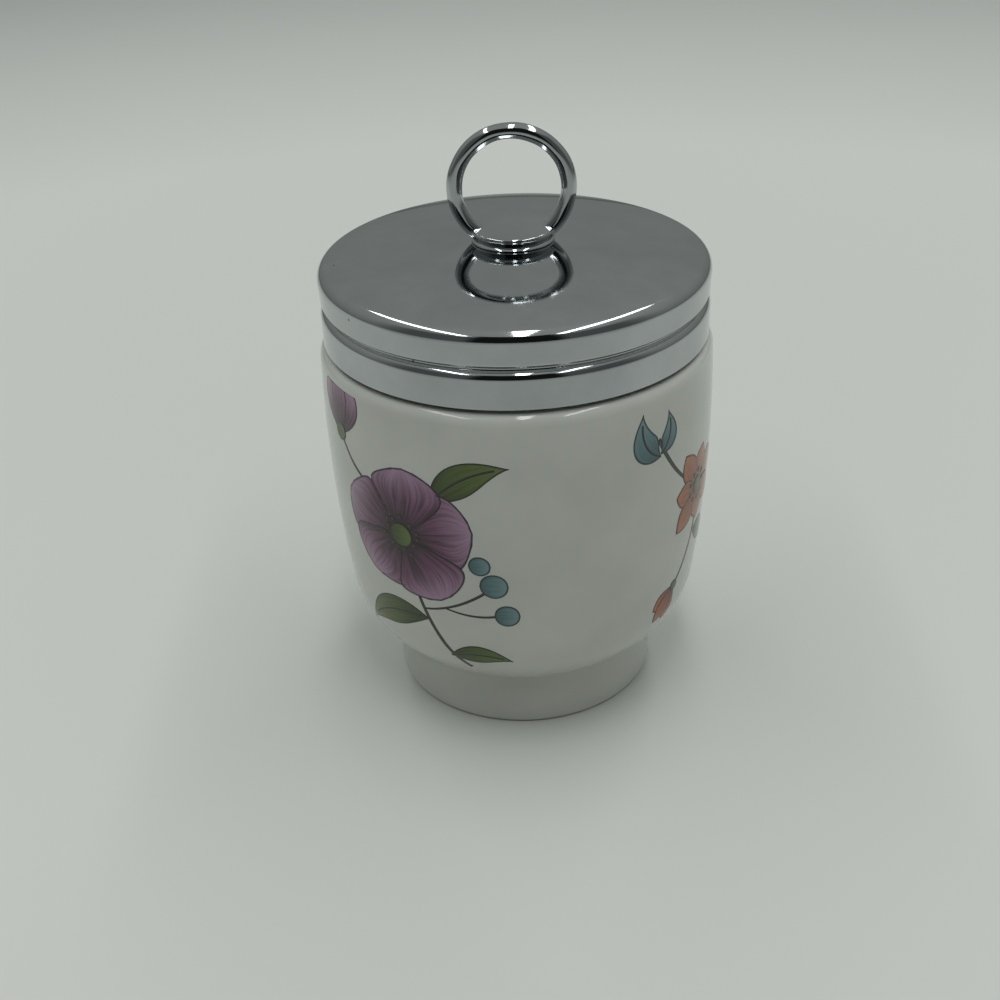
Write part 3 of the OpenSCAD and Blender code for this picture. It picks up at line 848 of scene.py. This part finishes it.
def surroundings():
    """A plain grey room, darker towards the front and darkest straight in front."""
    world = bpy.data.worlds.new("studio")
    scene.world = world
    world.use_nodes = True
    tree = world.node_tree
    tree.nodes.clear()
    where = add(tree, "ShaderNodeTexCoord")
    axes = add(tree, "ShaderNodeSeparateXYZ", {}, {"Vector": (where, "Generated")})
    level = add(tree, "ShaderNodeVectorMath", {"operation": "MULTIPLY", 1: (1.0, 1.0, 0.0)},
                {0: (where, "Generated")})
    compass = add(tree, "ShaderNodeVectorMath", {"operation": "NORMALIZE"}, {0: (level, "Vector")})
    turned_to = add(tree, "ShaderNodeSeparateXYZ", {}, {"Vector": (compass, "Vector")})
    room = add(tree, "ShaderNodeValToRGB",
               {"stops": [(0.0, srgb("7D807E")), (0.45, srgb("939694")), (1.0, srgb("A4A7A5"))]},
               {"Fac": (axes, "Z")})
    colour = room, "Color"
    for shade, turn_start, turn_full, top_start, top_full in FRONT_SHADES:
        turn = add(tree, "ShaderNodeMapRange",
                   {"interpolation_type": "SMOOTHSTEP", "From Min": turn_start, "From Max": turn_full},
                   {"Value": (turned_to, "Y")})
        height = add(tree, "ShaderNodeMapRange",
                     {"interpolation_type": "SMOOTHSTEP", "From Min": top_start, "From Max": top_full},
                     {"Value": (axes, "Z")})
        both = add(tree, "ShaderNodeMath", {"operation": "MULTIPLY"},
                   {0: (turn, "Result"), 1: (height, "Result")})
        mixed = add(tree, "ShaderNodeMix", {"data_type": "RGBA", 7: srgb(shade)},
                    {0: (both, "Value"), 6: colour})
        colour = mixed, 2
    light = add(tree, "ShaderNodeBackground", {"Strength": 1.0}, {"Color": colour})
    add(tree, "ShaderNodeOutputWorld", {}, {"Surface": (light, "Background")})


surroundings()


LAMP_HEIGHT, LAMP_WIDTH = 1.0, 0.10     # in metres


def ceiling_strip(name, x, y, length, power):
    """A long ceiling lamp that runs from the front to the back, in metres and watts."""
    data = bpy.data.lights.new(name, "AREA")
    data.shape = "RECTANGLE"
    data.size, data.size_y = LAMP_WIDTH, length
    data.energy = power
    made = bpy.data.objects.new(name, data)
    made.location = (x, y, LAMP_HEIGHT)
    scene.collection.objects.link(made)


ceiling_strip("lamp_left", -0.50, 0.08, 1.6, 3.1)
ceiling_strip("lamp_middle", 0.04, -0.24, 0.9, 2.3)
ceiling_strip("lamp_right", 0.42, 0.08, 1.6, 3.1)

# ---------------------------------------------------------------- camera, as fitted to the photograph
CAMERA_PLACE = Vector((0.0, -0.20106, 0.148655))
PITCH, YAW, ROLL = math.radians(30.579), math.radians(-1.003), math.radians(-2.247)
FOCAL_SHARE, SENSOR_MM = 1.3954, 36.0
looks_to = Vector((math.sin(YAW) * math.cos(PITCH), math.cos(YAW) * math.cos(PITCH), -math.sin(PITCH)))
level_right = looks_to.cross(Vector((0, 0, 1))).normalized()
level_up = level_right.cross(looks_to)
camera_right = math.cos(ROLL) * level_right + math.sin(ROLL) * level_up
camera_up = -math.sin(ROLL) * level_right + math.cos(ROLL) * level_up
camera_data = bpy.data.cameras.new("camera")
camera_data.sensor_width = SENSOR_MM
camera_data.lens = FOCAL_SHARE * SENSOR_MM
camera_data.clip_start = 0.01
camera = bpy.data.objects.new("camera", camera_data)
camera_turn = Matrix((camera_right, camera_up, -looks_to)).transposed()
camera.matrix_world = Matrix.Translation(CAMERA_PLACE) @ camera_turn.to_4x4()
scene.collection.objects.link(camera)
bpy.context.scene.camera = camera
